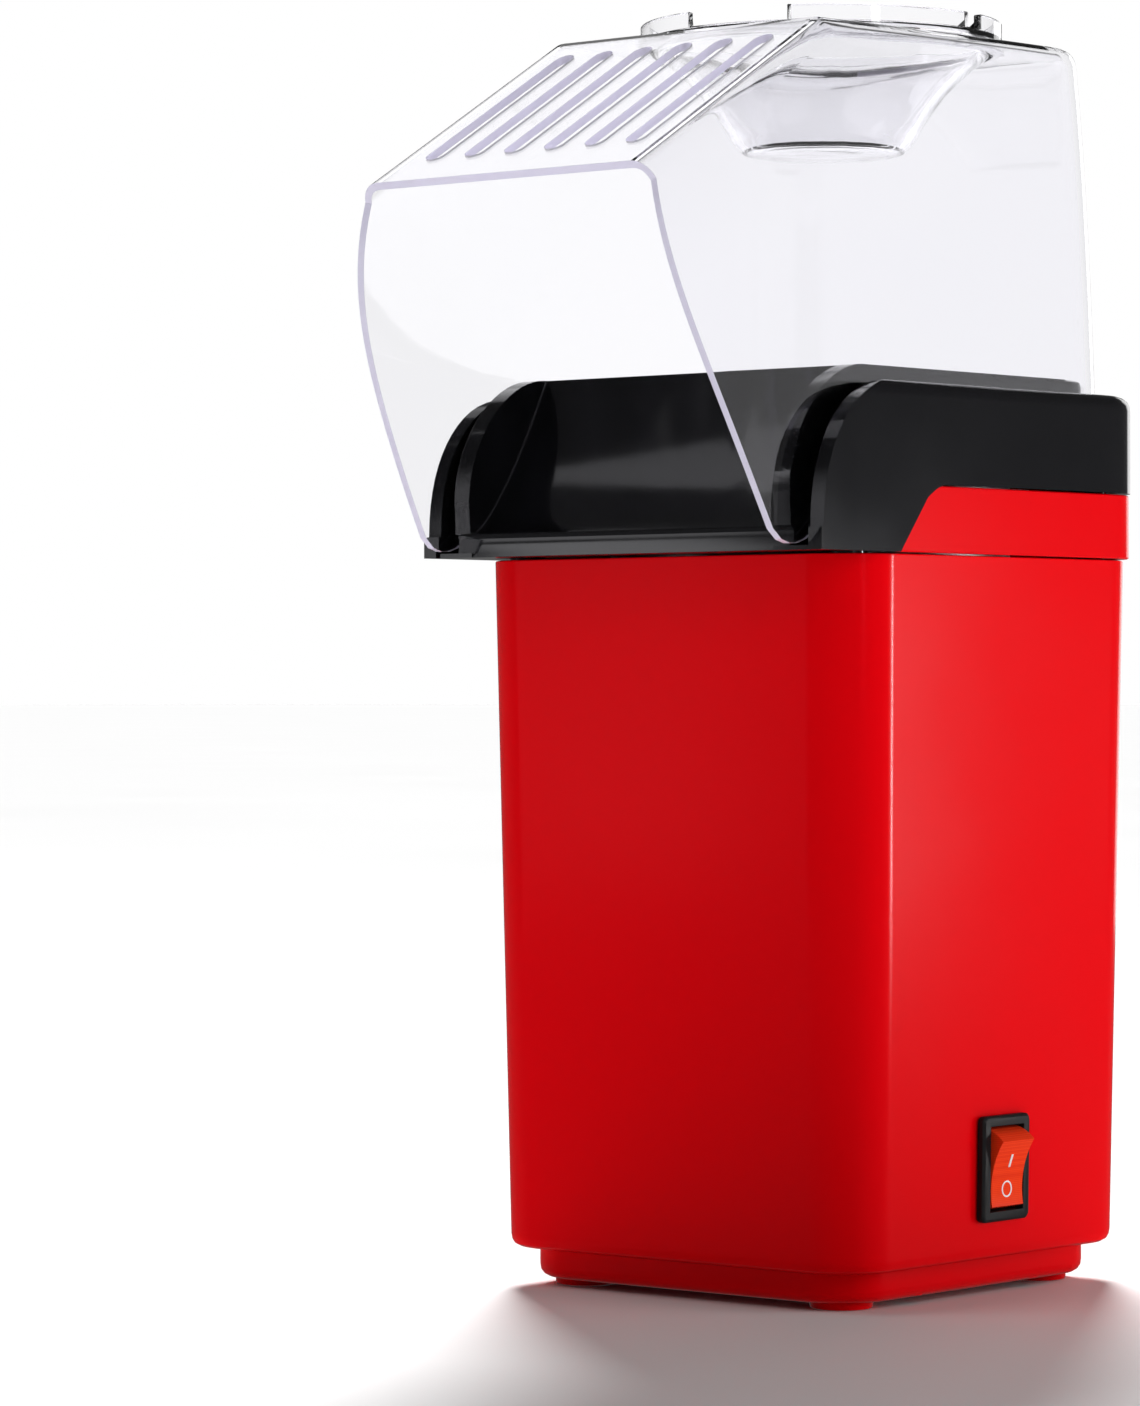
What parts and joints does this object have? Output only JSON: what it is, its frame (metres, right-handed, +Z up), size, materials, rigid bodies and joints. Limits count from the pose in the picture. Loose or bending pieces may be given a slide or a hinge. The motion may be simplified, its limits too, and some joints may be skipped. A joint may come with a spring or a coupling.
{
  "type": "popcorn maker",
  "caption": "Countertop hot-air popcorn maker: red housing, black chute, clear hood with vent slots, measuring cup in its top, fan, heater and popping chamber inside.",
  "frame": {"origin": "middle of the object's bounding box, on the surface that its feet stand on", "axes": "+Z up; -Y the way the chute's mouth faces; +X the side with the rocker switch"},
  "size_m": [0.1055, 0.1511, 0.2639],
  "materials": {
    "red_plastic": "glossy moulded plastic",
    "black_plastic": "high gloss moulded plastic",
    "clear_plastic": "clear polycarbonate",
    "rocker_red": "translucent, glossy",
    "aluminium": "drawn, satin",
    "sheet_steel": "galvanised",
    "screw_steel": "zinc plated",
    "duct_plastic": "heat-resistant, matt",
    "fan_plastic": "matt",
    "mica": "mica sheet",
    "nichrome": "drawn wire",
    "brass": "plain",
    "board": "solder mask",
    "diode_black": "epoxy",
    "lamp_glass": "clear",
    "rubber": "moulded",
    "lead_white": "insulation",
    "lead_red": "insulation",
    "lead_black": "insulation"
  },
  "bodies": {
    "machine": {"base_cover": "red_plastic", "base_screw_1": "screw_steel", "base_screw_2": "screw_steel", "base_screw_3": "screw_steel", "base_screw_4": "screw_steel", "chamber_screw_1": "screw_steel", "chamber_screw_2": "screw_steel", "chamber_screw_3": "screw_steel", "chute": "black_plastic", "chute_screw_1": "screw_steel", "chute_screw_2": "screw_steel", "chute_screw_3": "screw_steel", "chute_screw_4": "screw_steel", "collar": "black_plastic", "cord_bushing": "rubber", "diode_1": "diode_black", "diode_2": "diode_black", "diode_3": "diode_black", "diode_4": "diode_black", "dropper_coil": "nichrome", "duct_screw_1": "screw_steel", "duct_screw_2": "screw_steel", "duct_screw_3": "screw_steel", "duct_screw_4": "screw_steel", "fan_housing": "duct_plastic", "heater_sleeve": "sheet_steel", "heating_coil": "nichrome", "lead_live": "lead_black", "lead_motor": "lead_red", "lead_neutral": "lead_white", "lead_switched": "lead_red", "main_housing": "red_plastic", "mica_plate_cross": "mica", "mica_plate_wide": "mica", "motor_can": "sheet_steel", "motor_end_cap": "duct_plastic", "motor_screw_1": "screw_steel", "motor_screw_2": "screw_steel", "popping_chamber": "aluminium", "rectifier_board": "board", "switch_body": "black_plastic", "switch_lamp": "lamp_glass", "switch_terminal_1": "brass", "switch_terminal_2": "brass", "switch_terminal_3": "brass", "thermal_fuse": "brass", "thermostat": "aluminium", "upper_band": "red_plastic"},
    "cover": {"clear_cover": "clear_plastic"},
    "cup": {"measuring_cup": "clear_plastic"},
    "fan": {"fan_impeller": "fan_plastic", "motor_shaft": "sheet_steel"},
    "rocker": {"switch_rocker": "rocker_red"}
  },
  "joints": [
    {"name": "cover_lift", "type": "slide", "parent": "machine", "child": "cover", "axis": [0, 0, 1], "range_m": [0, 0.08]},
    {"name": "cup_lift", "type": "slide", "parent": "cover", "child": "cup", "axis": [0, 0, 1], "range_m": [0, 0.04]},
    {"name": "fan_spin", "type": "hinge", "parent": "machine", "child": "fan", "pos_m": [0, 0.0231, 0.05], "axis": [0, 0, 1], "continuous": true},
    {"name": "rocker_pivot", "type": "hinge", "parent": "machine", "child": "rocker", "pos_m": [0.04732, 0.0231, 0.02672], "axis": [0, -1, 0], "range_deg": [0, 22]}
  ]
}
